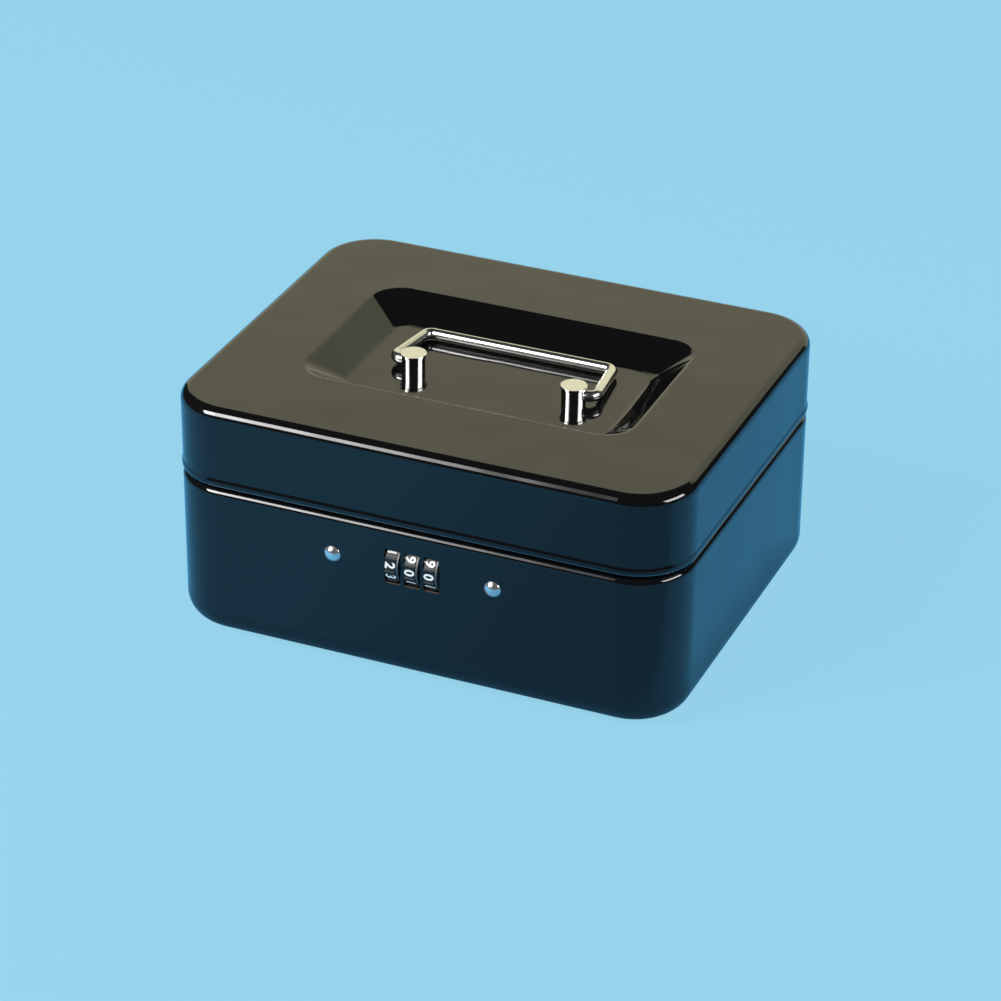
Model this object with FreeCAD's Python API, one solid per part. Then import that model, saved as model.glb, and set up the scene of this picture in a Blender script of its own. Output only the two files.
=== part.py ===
import FreeCAD, Part
import math
import os
from FreeCAD import Vector

# Small cash box of pressed and painted steel, with a piano hinge at the rear, a folding wire
# handle in the sunk panel of the lid, a three-dial lock behind the front wall and a coin tray.
# Millimetres. +X is right, +Y is to the rear, +Z is up. The origin is the middle of the underside.

# Box
BOX_WIDTH = 150.0
BOX_DEPTH = 120.0
BOX_HEIGHT = 70.8
CORNER_RADIUS = 16.6
SHEET = 0.8
BASE_HEIGHT = 46.3
BASE_EDGE_ROUND = 7.5
SHOULDER_ROUND = 1.9
LIP_RISE = 5.3
LIP_CLEARANCE = 0.35
LIP_ROOT_ROUND = 0.7
SEAM_GAP = 1.2
LID_EDGE_ROUND = 3.0
HEM_RISE = 3.3
HEM_ROUND = 0.7
HEM_FLARE = 0.25
FLARE_RISE = 1.6
FLARE_SLOPE_RISE = 0.8

# Sunk panel in the lid
PANEL_LENGTH = 97.6
PANEL_WIDTH = 60.0
PANEL_DEPTH = 6.1
PANEL_SLOPE_RUN = 9.0
PANEL_CORNER = 9.0
PANEL_FLOOR_CORNER = 5.0
PANEL_RIM_ROUND = 2.0
PANEL_FLOOR_ROUND = 4.0

# Handle
POST_SPACING = 48.2
POST_Y = -4.9
POST_DIAMETER = 7.0
POST_HEAD_DIAMETER = 7.6
POST_HEAD_THICKNESS = 0.6
POST_EDGE_ROUND = 0.2
POST_HEIGHT = 5.3
PIVOT_RISE = 2.7
PIVOT_FIT = 0.1
PIVOT_ENTRY = 3.4
WIRE_DIAMETER = 3.2
BAIL_REACH = 19.3
BAIL_BEND = 2.4
BAIL_ARM_GAP = 1.2
BAIL_TAPER = 2.1
BAIL_FLOOR_GAP = 0.3
STUD_DIAMETER = 4.0
STUD_FIT = 0.15
THREAD_FIT = 0.05
STUD_END = 0.6
WASHER_DIAMETER = 9.0
WASHER_THICKNESS = 0.8
NUT_ACROSS_FLATS = 7.0
NUT_THICKNESS = 3.2

# Hinge
HINGE_LENGTH = 90.0
KNUCKLE_COUNT = 5
KNUCKLE_GAP = 0.3
LEAF_THICKNESS = 1.0
LEAF_HEIGHT = 12.0
HINGE_PIN_DIAMETER = 2.5
HINGE_PIN_FIT = 0.05
HINGE_PIN_CHAMFER = 0.1
HINGE_NOTCH_GAP = 0.45

# Dials and their slots in the front wall
LOCK_HEIGHT = 34.6
DIAL_COUNT = 3
DIAL_DIAMETER = 13.0
DIAL_WIDTH = 4.0
DIAL_PROUD = 1.5
DIAL_FACES = 10
DIAL_CHAMFER = 0.3
DIAL_TURNS = (-9.0, 0.0, 0.0)
SLOT_SIDE_GAP = 0.35
SLOT_END_GAP = 0.3
SLOT_BAR = 1.0
SLOT_CORNER = 0.6
SLEEVE_DIAMETER = 9.2
SLEEVE_FIT = 0.05
SLEEVE_FLANGE = 0.5
SLEEVE_FLANGE_DIAMETER = 12.2
SPACER_GAP = 0.1

# Bolt
BOLT_DIAMETER = 3.8
BOLT_FIT = 0.1
BOLT_TRAVEL = 2.8
BOLT_TIP_CHAMFER = 0.6
TOOTH_WIDTH = 1.0
TOOTH_RISE = 1.2
TOOTH_GAP = 0.2
COLLAR_DIAMETER = 6.0
COLLAR_WIDTH = 0.8
TAIL_DIAMETER = 2.8
TAIL_LENGTH = 1.6
SPRING_WIRE = 0.4
SPRING_MEAN_DIAMETER = 4.4
SPRING_TURNS = 4
SPRING_ROOM = 3.1

# Lock case
CASE_BELOW_DIALS = 9.5
CASE_TOP_GAP = 0.3
CASE_WALL = 1.6
CASE_CHEEK = 2.8
DIAL_ROOM = 0.5
CATCH_SLIT = 2.6
BOLT_SOCKET = 1.6
BOLT_SOCKET_ENTRY = 0.4
OUTER_CHEEK = 4.2
EAR_LENGTH = 8.0
EAR_THICKNESS = 3.0
COVER_THICKNESS = 1.0
COVER_SCREW_DIAMETER = 2.0
COVER_SCREW_LENGTH = 6.0
COVER_SCREW_HEAD = 3.6
COVER_SCREW_HEAD_HEIGHT = 1.2
COVER_SCREW_FIT = 0.05
COVER_SCREW_INSET = 2.6
RIVET_SPACING = 47.2
RIVET_DIAMETER = 3.0
RIVET_HEAD_DIAMETER = 4.8
RIVET_HEAD_HEIGHT = 1.3
RIVET_TAIL_DIAMETER = 4.2
RIVET_TAIL_HEIGHT = 0.9
RIVET_FIT = 0.05
DETENT_SHEET = 0.3
DETENT_GAP = 0.3
DETENT_FINGER_RISE = 2.0
DETENT_FINGER_ROOT = 3.25
DETENT_FINGER_GAP = 1.0
DETENT_BACK_ROOM = 1.3

# Code slider
SLIDER_TRAVEL = 4.0
SLIDER_WIDTH = 4.0
SLIDER_KNOB_HEIGHT = 3.6
SLIDER_KNOB_PROUD = 1.8
SLIDER_NECK_WIDTH = 2.4
SLIDER_NECK_HEIGHT = 1.8
SLIDER_FOOT_THICKNESS = 0.7
SLIDER_GAP = 0.1
SLIDER_RISE = 5.0

# Catch on the lid
CATCH_SHEET = 1.2
CATCH_PLATE_WIDTH = 24.0
CATCH_PLATE_GAP = 2.5
CATCH_TOP_GAP = 4.8
CATCH_LEG_WIDTH = 4.2
CATCH_LIP_GAP = 1.6
CATCH_TOE = 2.2
CATCH_TOE_CHAMFER = 0.8
CATCH_BOLT_GAP = 0.3

# Coin tray
TRAY_WALL = 1.5
TRAY_HEIGHT = 21.0
TRAY_FLANGE_THICKNESS = 1.6
TRAY_FLANGE_LENGTH = 76.0
TRAY_SIDE_GAP = 2.0
TRAY_FLANGE_GAP = 0.5
TRAY_FRONT_GAP = 2.0
TRAY_REAR_GAP = 2.5
TRAY_CORNER = 8.0
TRAY_CUPS = 3
TRAY_CUP_DEPTH = 46.0
TRAY_POCKET_CORNER = 4.0
TRAY_SCOOP = 12.0
TRAY_NOTCH_RADIUS = 11.0
TRAY_NOTCH_DEPTH = 7.5

# How far a cut runs past the face that it opens, and how near a height counts as the same
OVER = 1.0
NEAR = 1e-4

# Heights and places that follow from the sizes above
lip_inset = 2 * SHEET + LIP_CLEARANCE
lip_top = BASE_HEIGHT + LIP_RISE
lip_inner_y = BOX_DEPTH / 2 - lip_inset - SHEET
lid_bottom = BASE_HEIGHT + SEAM_GAP
wall_inner_y = BOX_DEPTH / 2 - SHEET
panel_floor = BOX_HEIGHT - PANEL_DEPTH
panel_underside = panel_floor - SHEET
pivot_z = panel_floor + PIVOT_RISE
wire_radius = WIRE_DIAMETER / 2
knuckle_radius = HINGE_PIN_DIAMETER / 2 + HINGE_PIN_FIT + LEAF_THICKNESS
hinge_y = wall_inner_y - LEAF_THICKNESS + knuckle_radius
hinge_z = BASE_HEIGHT + SEAM_GAP / 2
dial_radius = DIAL_DIAMETER / 2
dial_pitch = DIAL_WIDTH + 2 * SLOT_SIDE_GAP + SLOT_BAR
dial_places = [(number - (DIAL_COUNT - 1) / 2) * dial_pitch for number in range(DIAL_COUNT)]
dial_gap = dial_pitch - DIAL_WIDTH
dial_y = -BOX_DEPTH / 2 - DIAL_PROUD + dial_radius
spacer_radius = dial_radius - DIAL_PROUD - SHEET - 2 * SPACER_GAP
bolt_radius = BOLT_DIAMETER / 2
tooth_radius = bolt_radius + TOOTH_RISE
gate_radius = tooth_radius + TOOTH_GAP
gate_depth = TOOTH_WIDTH + 2 * TOOTH_GAP
gate_web = BOLT_TRAVEL - gate_depth
stack_half = dial_places[-1] + DIAL_WIDTH / 2 + dial_gap
slit_start = stack_half + CASE_CHEEK
slit_end = slit_start + CATCH_SLIT
catch_x = (slit_start + slit_end - CATCH_SHEET) / 2
bolt_tip = slit_end + BOLT_SOCKET_ENTRY - BOLT_TRAVEL
collar_end = -stack_half - CASE_CHEEK - TOOTH_GAP - BOLT_TRAVEL
spring_end = collar_end - COLLAR_WIDTH
spring_seat = spring_end - SPRING_ROOM
case_left = spring_seat - CASE_WALL
case_right = slit_end + OUTER_CHEEK
case_front = -wall_inner_y
detent_front = dial_y + dial_radius + DETENT_GAP
case_back = detent_front + DETENT_SHEET + DETENT_BACK_ROOM
cover_back = case_back + COVER_THICKNESS
case_bottom = LOCK_HEIGHT - CASE_BELOW_DIALS
case_top = BASE_HEIGHT - SHOULDER_ROUND - CASE_TOP_GAP
leg_front = -lip_inner_y + CATCH_LIP_GAP
leg_back = leg_front + CATCH_LEG_WIDTH
toe_top = LOCK_HEIGHT - bolt_radius - CATCH_BOLT_GAP
toe_bottom = toe_top - CATCH_TOE
tray_top = lip_top + TRAY_FLANGE_THICKNESS
tray_bottom = tray_top - TRAY_HEIGHT
tray_half_width = BOX_WIDTH / 2 - lip_inset - SHEET - TRAY_SIDE_GAP
tray_front = cover_back + SLIDER_KNOB_PROUD + TRAY_FRONT_GAP
tray_rear = wall_inner_y - LEAF_THICKNESS - TRAY_REAR_GAP


def block(x0, x1, y0, y1, z0, z1):
    """A box between two corners."""
    return Part.makeBox(x1 - x0, y1 - y0, z1 - z0, Vector(x0, y0, z0))


def rod_x(radius, x0, x1, y, z):
    """A round bar along X."""
    return Part.makeCylinder(radius, x1 - x0, Vector(x0, y, z), Vector(1, 0, 0))


def rod_y(radius, y0, y1, x, z):
    """A round bar along Y."""
    return Part.makeCylinder(radius, y1 - y0, Vector(x, y0, z), Vector(0, 1, 0))


def rod_z(radius, z0, z1, x, y):
    """A round bar along Z."""
    return Part.makeCylinder(radius, z1 - z0, Vector(x, y, z0), Vector(0, 0, 1))


def prism_x(points, x0, x1):
    """A flat outline of (y, z) points carried along X."""
    corners = [Vector(x0, y, z) for y, z in points]
    face = Part.Face(Part.makePolygon(corners + corners[:1]))
    return face.extrude(Vector(x1 - x0, 0, 0))


def rounded_wire(length, width, radius, z):
    """A rectangle about the Z axis, with round corners, at height z."""
    edges = []
    along = length / 2 - radius
    across = width / 2 - radius
    centres = [(along, -across), (along, across), (-along, across), (-along, -across)]
    for number, (x, y) in enumerate(centres):
        turn = math.radians(90 * number - 90)
        bow = [turn, turn + math.pi / 4, turn + math.pi / 2]
        arc = [Vector(x + radius * math.cos(a), y + radius * math.sin(a), z) for a in bow]
        if edges:
            edges.append(Part.LineSegment(end, arc[0]).toShape())
        else:
            start = arc[0]
        edges.append(Part.Arc(*arc).toShape())
        end = arc[2]
    edges.append(Part.LineSegment(end, start).toShape())
    return Part.Wire(edges)


def rounded_prism(length, width, radius, bottom, top):
    """A block about the Z axis with round upright edges."""
    face = Part.Face(rounded_wire(length, width, radius, bottom))
    return face.extrude(Vector(0, 0, top - bottom))


def edges_at(shape, z, half_length=None, half_width=None):
    """The level edges at height z, within the given reach of the Z axis."""
    found = []
    for edge in shape.Edges:
        room = edge.BoundBox
        if abs(room.ZMin - z) > NEAR or abs(room.ZMax - z) > NEAR:
            continue
        if half_length is not None:
            if max(abs(room.XMin), abs(room.XMax)) > half_length + NEAR:
                continue
            if max(abs(room.YMin), abs(room.YMax)) > half_width + NEAR:
                continue
        found.append(edge)
    return found


def rounded_edges(shape, radius, z, half_length=None, half_width=None):
    """The shape with its level edges at height z rounded."""
    return shape.makeFillet(radius, edges_at(shape, z, half_length, half_width))


def box_wire(inset, z):
    """The box's outline at height z, pulled in all round by an inset."""
    return rounded_wire(BOX_WIDTH - 2 * inset, BOX_DEPTH - 2 * inset, CORNER_RADIUS - inset, z)


def box_prism(inset, bottom, top):
    """A block with the box's outline, pulled in all round by an inset."""
    return Part.Face(box_wire(inset, bottom)).extrude(Vector(0, 0, top - bottom))


def dial_slot(x):
    """The cut in the front wall for one dial."""
    reach = dial_radius - DIAL_PROUD - SHEET
    half_height = math.sqrt(dial_radius ** 2 - reach ** 2) + SLOT_END_GAP
    half_width = DIAL_WIDTH / 2 + SLOT_SIDE_GAP
    cut = block(x - half_width, x + half_width, -BOX_DEPTH / 2 - OVER, -wall_inner_y + OVER,
                LOCK_HEIGHT - half_height, LOCK_HEIGHT + half_height)
    upright = [edge for edge in cut.Edges if edge.BoundBox.YLength > SHEET]
    return cut.makeFillet(SLOT_CORNER, upright)


def hinge_notch(bottom, top, near, far):
    """A cut through a rear wall, as long as the hinge."""
    half = HINGE_LENGTH / 2 + HINGE_NOTCH_GAP
    return block(-half, half, near, far, bottom, top)


def make_base_shell():
    """The drawn base: a tray with a rounded shoulder and a lip that stands inside the lid."""
    outside = box_prism(0, 0, BASE_HEIGHT)
    outside = rounded_edges(outside, BASE_EDGE_ROUND, 0)
    outside = rounded_edges(outside, SHOULDER_ROUND, BASE_HEIGHT)
    outside = outside.fuse(box_prism(lip_inset, BASE_HEIGHT - SHOULDER_ROUND, lip_top)).removeSplitter()
    outside = rounded_edges(outside, LIP_ROOT_ROUND, BASE_HEIGHT,
                            BOX_WIDTH / 2 - lip_inset, BOX_DEPTH / 2 - lip_inset)
    inside = box_prism(SHEET, SHEET, BASE_HEIGHT - SHEET)
    inside = rounded_edges(inside, BASE_EDGE_ROUND - SHEET, SHEET)
    inside = rounded_edges(inside, SHOULDER_ROUND - SHEET, BASE_HEIGHT - SHEET)
    inside = inside.fuse(box_prism(lip_inset + SHEET, BASE_HEIGHT - SHOULDER_ROUND, lip_top + OVER))
    shell = outside.cut(inside.removeSplitter())
    shell = shell.cut(hinge_notch(hinge_z - knuckle_radius - HINGE_NOTCH_GAP, lip_top + OVER,
                                  lip_inner_y - OVER, BOX_DEPTH / 2 + OVER))
    for x in dial_places:
        shell = shell.cut(dial_slot(x))
    for side in (-1, 1):
        hole = rod_y(RIVET_DIAMETER / 2 + RIVET_FIT, -BOX_DEPTH / 2 - OVER, -wall_inner_y + OVER,
                     side * RIVET_SPACING / 2, LOCK_HEIGHT)
        shell = shell.cut(hole)
    return shell


def panel_frustum(top, bottom, grow):
    """The sloped hollow of the sunk panel, grown all round by a step."""
    upper = rounded_wire(PANEL_LENGTH + 2 * grow, PANEL_WIDTH + 2 * grow, PANEL_CORNER + grow, top)
    lower = rounded_wire(PANEL_LENGTH - 2 * PANEL_SLOPE_RUN + 2 * grow,
                         PANEL_WIDTH - 2 * PANEL_SLOPE_RUN + 2 * grow, PANEL_FLOOR_CORNER + grow, bottom)
    return Part.makeLoft([lower, upper], True, True)


def sunk(block_shape, top, grow, rim_round, floor_round):
    """A block with the sunk panel pressed into its top, and both bends rounded."""
    floor = top - PANEL_DEPTH
    shape = block_shape.cut(panel_frustum(top, floor, grow))
    reach = PANEL_LENGTH / 2 + grow, PANEL_WIDTH / 2 + grow
    shape = rounded_edges(shape, floor_round, floor, *reach)
    return rounded_edges(shape, rim_round, top, *reach)


def lid_block():
    """The outside of the lid before the panel is pressed in: its skirt flares a little at the hem."""
    flare_top = lid_bottom + FLARE_RISE
    slope_top = flare_top + FLARE_SLOPE_RISE
    rim = rounded_edges(box_prism(-HEM_FLARE, lid_bottom, flare_top), HEM_ROUND, lid_bottom)
    slope = Part.makeLoft([box_wire(-HEM_FLARE, flare_top), box_wire(0, slope_top)], True, True)
    skirt = rounded_edges(box_prism(0, slope_top, BOX_HEIGHT), LID_EDGE_ROUND, BOX_HEIGHT)
    return skirt.fuse([slope, rim])


def make_lid_shell():
    """The drawn lid: a hemmed skirt and a sunk panel for the handle."""
    slope = math.atan2(PANEL_DEPTH, PANEL_SLOPE_RUN)
    grow = SHEET * math.tan(slope / 2)
    outside = sunk(lid_block(), BOX_HEIGHT, 0, PANEL_RIM_ROUND, PANEL_FLOOR_ROUND)
    top = BOX_HEIGHT - SHEET
    inside = rounded_edges(box_prism(SHEET, lid_bottom + HEM_RISE, top), LID_EDGE_ROUND - SHEET, top)
    inside = sunk(inside, top, grow, PANEL_RIM_ROUND - SHEET, PANEL_FLOOR_ROUND + SHEET)
    shell = outside.cut(inside)
    shell = shell.cut(box_prism(2 * SHEET, lid_bottom - OVER, lid_bottom + HEM_RISE + SHEET))
    knuckle_cut = hinge_z + knuckle_radius + HINGE_NOTCH_GAP
    shell = shell.cut(hinge_notch(lid_bottom - OVER, knuckle_cut, lip_inner_y, BOX_DEPTH / 2 + OVER))
    hem_cut = lid_bottom + HEM_RISE + SHEET
    shell = shell.cut(hinge_notch(lid_bottom - OVER, hem_cut, lip_inner_y, wall_inner_y))
    for side in (-1, 1):
        hole = rod_z(STUD_DIAMETER / 2 + STUD_FIT, panel_underside - OVER, panel_floor + OVER,
                     side * POST_SPACING / 2, POST_Y)
        shell = shell.cut(hole)
    return shell


def make_hinge_leaf(side):
    """One leaf of the piano hinge with its share of the knuckles: side -1 is the base, 1 the lid."""
    pitch = HINGE_LENGTH / KNUCKLE_COUNT
    plate_face = hinge_y - knuckle_radius
    far = hinge_z + side * LEAF_HEIGHT
    clear = hinge_z + side * (knuckle_radius + HINGE_NOTCH_GAP)
    low, high = sorted((far, clear))
    leaf = block(-HINGE_LENGTH / 2, HINGE_LENGTH / 2, plate_face, plate_face + LEAF_THICKNESS, low, high)
    first = 0 if side < 0 else 1
    for number in range(first, KNUCKLE_COUNT, 2):
        start = -HINGE_LENGTH / 2 + number * pitch + KNUCKLE_GAP / 2
        end = start + pitch - KNUCKLE_GAP
        low, high = sorted((hinge_z, clear))
        leaf = leaf.fuse(block(start, end, plate_face, plate_face + LEAF_THICKNESS, low, high))
        leaf = leaf.fuse(rod_x(knuckle_radius, start, end, hinge_y, hinge_z))
    bore = HINGE_PIN_DIAMETER / 2 + HINGE_PIN_FIT
    leaf = leaf.cut(rod_x(bore, -HINGE_LENGTH, HINGE_LENGTH, hinge_y, hinge_z))
    return leaf.removeSplitter()


def make_hinge_pin():
    """The pin through all the knuckles, with its ends broken."""
    pin = rod_x(HINGE_PIN_DIAMETER / 2, -HINGE_LENGTH / 2, HINGE_LENGTH / 2, hinge_y, hinge_z)
    ends = [edge for edge in pin.Edges if edge.BoundBox.XLength < HINGE_PIN_FIT]
    return pin.makeChamfer(HINGE_PIN_CHAMFER, ends)


def make_handle_post(side):
    """A turned post with a wider head, a cross hole for the wire and a stud below."""
    x = side * POST_SPACING / 2
    top = panel_floor + POST_HEIGHT
    post = rod_z(POST_DIAMETER / 2, panel_floor, top, x, POST_Y)
    head = rod_z(POST_HEAD_DIAMETER / 2, top - POST_HEAD_THICKNESS, top, x, POST_Y)
    post = post.fuse(rounded_edges(head, POST_EDGE_ROUND, top))
    hole_end = x + side * POST_HEAD_DIAMETER
    hole_start = x + side * (POST_DIAMETER / 2 - PIVOT_ENTRY - PIVOT_FIT)
    low, high = sorted((hole_start, hole_end))
    post = post.cut(rod_x(wire_radius + PIVOT_FIT, low, high, POST_Y, pivot_z))
    stud_foot = panel_underside - WASHER_THICKNESS - NUT_THICKNESS - STUD_END
    return post.fuse(rod_z(STUD_DIAMETER / 2, stud_foot, panel_floor, x, POST_Y))


def make_handle_washers():
    """The washers under the sunk panel, one for each post."""
    washers = []
    for side in (-1, 1):
        x = side * POST_SPACING / 2
        washer = rod_z(WASHER_DIAMETER / 2, panel_underside - WASHER_THICKNESS, panel_underside, x, POST_Y)
        hole = rod_z(STUD_DIAMETER / 2 + STUD_FIT, panel_underside - 2 * WASHER_THICKNESS, panel_floor,
                     x, POST_Y)
        washers.append(washer.cut(hole))
    return Part.makeCompound(washers)


def make_handle_nuts():
    """The hexagon nuts on the studs of the posts."""
    nuts = []
    top = panel_underside - WASHER_THICKNESS
    corner = NUT_ACROSS_FLATS / 2 / math.cos(math.pi / 6)
    for side in (-1, 1):
        x = side * POST_SPACING / 2
        turns = [math.radians(60 * number) for number in range(7)]
        points = [Vector(x + corner * math.cos(a), POST_Y + corner * math.sin(a), top) for a in turns]
        nut = Part.Face(Part.makePolygon(points)).extrude(Vector(0, 0, -NUT_THICKNESS))
        bore = rod_z(STUD_DIAMETER / 2 + THREAD_FIT, top - 2 * NUT_THICKNESS, top + OVER, x, POST_Y)
        nuts.append(nut.cut(bore))
    return Part.makeCompound(nuts)


def bent_path(points, radius):
    """A wire through points in the XY plane, with a round bend at each inner point."""
    edges = []
    start = points[0]
    for before, corner, after in zip(points, points[1:], points[2:]):
        back = (before - corner).normalize()
        ahead = (after - corner).normalize()
        half_turn = back.getAngle(ahead) / 2
        bend_in = corner + back * (radius / math.tan(half_turn))
        bend_out = corner + ahead * (radius / math.tan(half_turn))
        to_centre = (back + ahead).normalize()
        middle = corner + to_centre * (radius / math.sin(half_turn) - radius)
        edges.append(Part.LineSegment(start, bend_in).toShape())
        edges.append(Part.Arc(bend_in, middle, bend_out).toShape())
        start = bend_out
    edges.append(Part.LineSegment(start, points[-1]).toShape())
    return Part.Wire(edges)


def make_handle_bail():
    """The bent wire handle, lying back in the sunk panel just clear of its floor."""
    tip = POST_SPACING / 2 + POST_DIAMETER / 2 - PIVOT_ENTRY
    elbow = POST_SPACING / 2 + POST_DIAMETER / 2 + BAIL_ARM_GAP + wire_radius
    bar_end = elbow - BAIL_TAPER
    half = [Vector(tip, 0, 0), Vector(elbow, 0, 0), Vector(bar_end, BAIL_REACH, 0)]
    other = [Vector(-point.x, point.y, 0) for point in reversed(half)]
    path = bent_path(half + other, BAIL_BEND)
    section = Part.Wire(Part.makeCircle(wire_radius, half[0], Vector(1, 0, 0)))
    bail = path.makePipeShell([section], True, True)
    droop = math.asin((PIVOT_RISE - wire_radius - BAIL_FLOOR_GAP) / BAIL_REACH)
    bail.rotate(Vector(0, 0, 0), Vector(1, 0, 0), -math.degrees(droop))
    bail.translate(Vector(0, POST_Y, pivot_z))
    return bail


def make_dial_ring(x, rest_turn):
    """A number ring with ten flat faces and broken edges, one face turned down from the front."""
    start = x - DIAL_WIDTH / 2
    end = x + DIAL_WIDTH / 2 - SLEEVE_FLANGE
    half_face = math.pi / DIAL_FACES
    turns = [half_face * (2 * number + 1) - math.radians(rest_turn) for number in range(DIAL_FACES)]
    points = [(dial_y - dial_radius * math.cos(a), LOCK_HEIGHT + dial_radius * math.sin(a)) for a in turns]
    ring = prism_x(points, start, end)
    sides = [edge for edge in ring.Edges if edge.BoundBox.XLength < DIAL_CHAMFER]
    ring = ring.makeChamfer(DIAL_CHAMFER, sides)
    bore = SLEEVE_DIAMETER / 2 + SLEEVE_FIT
    return ring.cut(rod_x(bore, start - OVER, end + OVER, dial_y, LOCK_HEIGHT))


def make_code_sleeve(x):
    """The flanged sleeve in a ring: a web with one gate, and room for a tooth on both sides."""
    start = x - DIAL_WIDTH / 2
    end = start + DIAL_WIDTH
    sleeve = rod_x(SLEEVE_DIAMETER / 2, start, end, dial_y, LOCK_HEIGHT)
    sleeve = sleeve.fuse(rod_x(SLEEVE_FLANGE_DIAMETER / 2, end - SLEEVE_FLANGE, end, dial_y, LOCK_HEIGHT))
    sleeve = sleeve.cut(rod_x(bolt_radius + BOLT_FIT, start - OVER, end + OVER, dial_y, LOCK_HEIGHT))
    web_start = start + gate_depth
    sleeve = sleeve.cut(rod_x(gate_radius, start - OVER, web_start, dial_y, LOCK_HEIGHT))
    sleeve = sleeve.cut(rod_x(gate_radius, web_start + gate_web, end + OVER, dial_y, LOCK_HEIGHT))
    half_gate = TOOTH_WIDTH / 2 + TOOTH_GAP
    gate = block(start - OVER, end + OVER, dial_y - half_gate, dial_y + half_gate,
                 LOCK_HEIGHT, LOCK_HEIGHT + gate_radius)
    return sleeve.cut(gate)


def make_dial_spacers():
    """The washers between the dials and beside them."""
    spacers = []
    for number in range(DIAL_COUNT + 1):
        start = -stack_half + number * dial_pitch + SPACER_GAP
        end = start + dial_gap - 2 * SPACER_GAP
        spacer = rod_x(spacer_radius, start, end, dial_y, LOCK_HEIGHT)
        spacers.append(spacer.cut(rod_x(gate_radius, start - OVER, end + OVER, dial_y, LOCK_HEIGHT)))
    return Part.makeCompound(spacers)


def make_bolt_spindle():
    """The spindle through the dials, drawn back: one tooth for each dial, a collar and a bolt tip."""
    bolt = rod_x(bolt_radius, spring_end, bolt_tip, dial_y, LOCK_HEIGHT)
    tip = [edge for edge in bolt.Edges if edge.BoundBox.XMin > bolt_tip - BOLT_TIP_CHAMFER]
    bolt = bolt.makeChamfer(BOLT_TIP_CHAMFER, tip)
    bolt = bolt.fuse(rod_x(COLLAR_DIAMETER / 2, spring_end, collar_end, dial_y, LOCK_HEIGHT))
    bolt = bolt.fuse(rod_x(TAIL_DIAMETER / 2, spring_end - TAIL_LENGTH, collar_end, dial_y, LOCK_HEIGHT))
    for x in dial_places:
        start = x - DIAL_WIDTH / 2 + TOOTH_GAP
        tooth = block(start, start + TOOTH_WIDTH, dial_y - TOOTH_WIDTH / 2, dial_y + TOOTH_WIDTH / 2,
                      LOCK_HEIGHT, LOCK_HEIGHT + tooth_radius)
        bolt = bolt.fuse(tooth)
    return bolt.removeSplitter()


def make_bolt_spring():
    """The coil spring between the case and the collar: half turns, each tilted to climb half a pitch."""
    climb = (SPRING_ROOM - SPRING_WIRE) / SPRING_TURNS / 2
    radius = SPRING_MEAN_DIAMETER / 2
    turns = []
    for number in range(2 * SPRING_TURNS):
        side = 1 if number % 2 == 0 else -1
        start = Vector(side * radius, 0, number * climb)
        end = Vector(-side * radius, 0, (number + 1) * climb)
        centre = (start + end) * 0.5
        axis = (start - centre).cross(Vector(0, side, 0))
        disc = Part.Face(Part.Wire(Part.makeCircle(SPRING_WIRE / 2, start, Vector(0, 1, 0))))
        turns.append(disc.revolve(centre, axis, 180))
    spring = turns[0].fuse(turns[1:])
    spring.rotate(Vector(0, 0, 0), Vector(0, 1, 0), 90)
    spring.translate(Vector(spring_seat + SPRING_WIRE / 2, dial_y, LOCK_HEIGHT))
    return spring


def make_lock_case():
    """The cast case: room for the dials, cheeks for the bolt, a slit for the catch, two ears."""
    case = block(case_left, case_right, case_front, case_back, case_bottom, case_top)
    ear_reach = RIVET_SPACING / 2 + EAR_LENGTH / 2
    case = case.fuse(block(-ear_reach, ear_reach, case_front, case_front + EAR_THICKNESS,
                           case_bottom, case_top))
    room = dial_radius + DIAL_ROOM
    case = case.cut(block(-stack_half, stack_half, case_front - OVER, case_back + OVER,
                          LOCK_HEIGHT - room, LOCK_HEIGHT + room))
    chamber = COLLAR_DIAMETER / 2 + DIAL_ROOM
    case = case.cut(block(spring_seat, -stack_half - CASE_CHEEK, dial_y - chamber, case_back + OVER,
                          LOCK_HEIGHT - chamber, LOCK_HEIGHT + chamber))
    case = case.cut(block(slit_start, slit_end, -lip_inner_y, leg_back + DIAL_ROOM,
                          toe_bottom - DIAL_ROOM, case_top + OVER))
    case = case.cut(rod_x(bolt_radius + BOLT_FIT, -stack_half - CASE_CHEEK - OVER, slit_end + BOLT_SOCKET,
                          dial_y, LOCK_HEIGHT))
    for side in (-1, 1):
        hole = rod_y(RIVET_DIAMETER / 2 + RIVET_FIT, case_front - OVER, case_front + EAR_THICKNESS + OVER,
                     side * RIVET_SPACING / 2, LOCK_HEIGHT)
        case = case.cut(hole)
    for x, z in cover_screw_places():
        case = case.cut(rod_y(COVER_SCREW_DIAMETER / 2 + COVER_SCREW_FIT,
                              case_back - COVER_SCREW_LENGTH - SHEET, case_back + OVER, x, z))
    return case.removeSplitter()


def cover_screw_places():
    """Where the two cover screws go, low in the solid ends of the case."""
    height = case_bottom + COVER_SCREW_INSET
    return [(case_left + COVER_SCREW_INSET, height), (case_right - COVER_SCREW_INSET, height)]


def make_lock_cover():
    """The rear plate of the lock, with the slot for the code slider."""
    cover = block(case_left, case_right, case_back, cover_back, case_bottom, case_top)
    half_slot = (SLIDER_NECK_WIDTH + SLIDER_TRAVEL) / 2 + SLIDER_GAP
    slot_z = LOCK_HEIGHT + SLIDER_RISE
    half_height = SLIDER_NECK_HEIGHT / 2 + SLIDER_GAP
    cover = cover.cut(block(-half_slot, half_slot, case_back - OVER, cover_back + OVER,
                            slot_z - half_height, slot_z + half_height))
    for x, z in cover_screw_places():
        cover = cover.cut(rod_y(COVER_SCREW_DIAMETER / 2 + COVER_SCREW_FIT,
                                case_back - OVER, cover_back + OVER, x, z))
    return cover


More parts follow.
